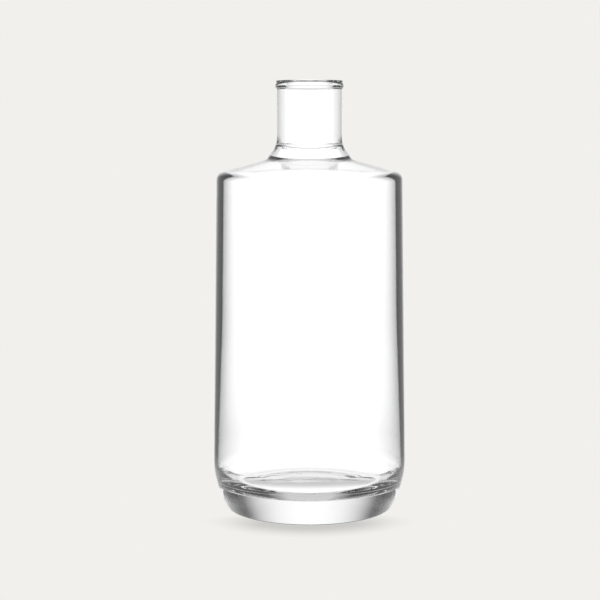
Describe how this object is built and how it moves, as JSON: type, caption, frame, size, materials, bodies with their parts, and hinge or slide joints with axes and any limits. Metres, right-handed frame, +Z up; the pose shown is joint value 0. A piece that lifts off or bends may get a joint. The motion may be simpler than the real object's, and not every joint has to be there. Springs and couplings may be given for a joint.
{
  "type": "clear glass spirits bottle",
  "caption": "Round clear glass bottle, empty and open, with a straight-sided body, low sloping shoulder, short neck with a beaded lip and a heavy rounded base.",
  "frame": {"origin": "centre of the plane that the bottle stands on", "axes": "+Z up along the bottle's axis, from the base to the mouth; X and Y are any two directions across it"},
  "size_m": [0.08, 0.08, 0.1775],
  "materials": {
    "clear_glass": "clear flint glass, fire-polished inside and out"
  },
  "bodies": {
    "root": {"bottle": "clear_glass"}
  },
  "joints": []
}
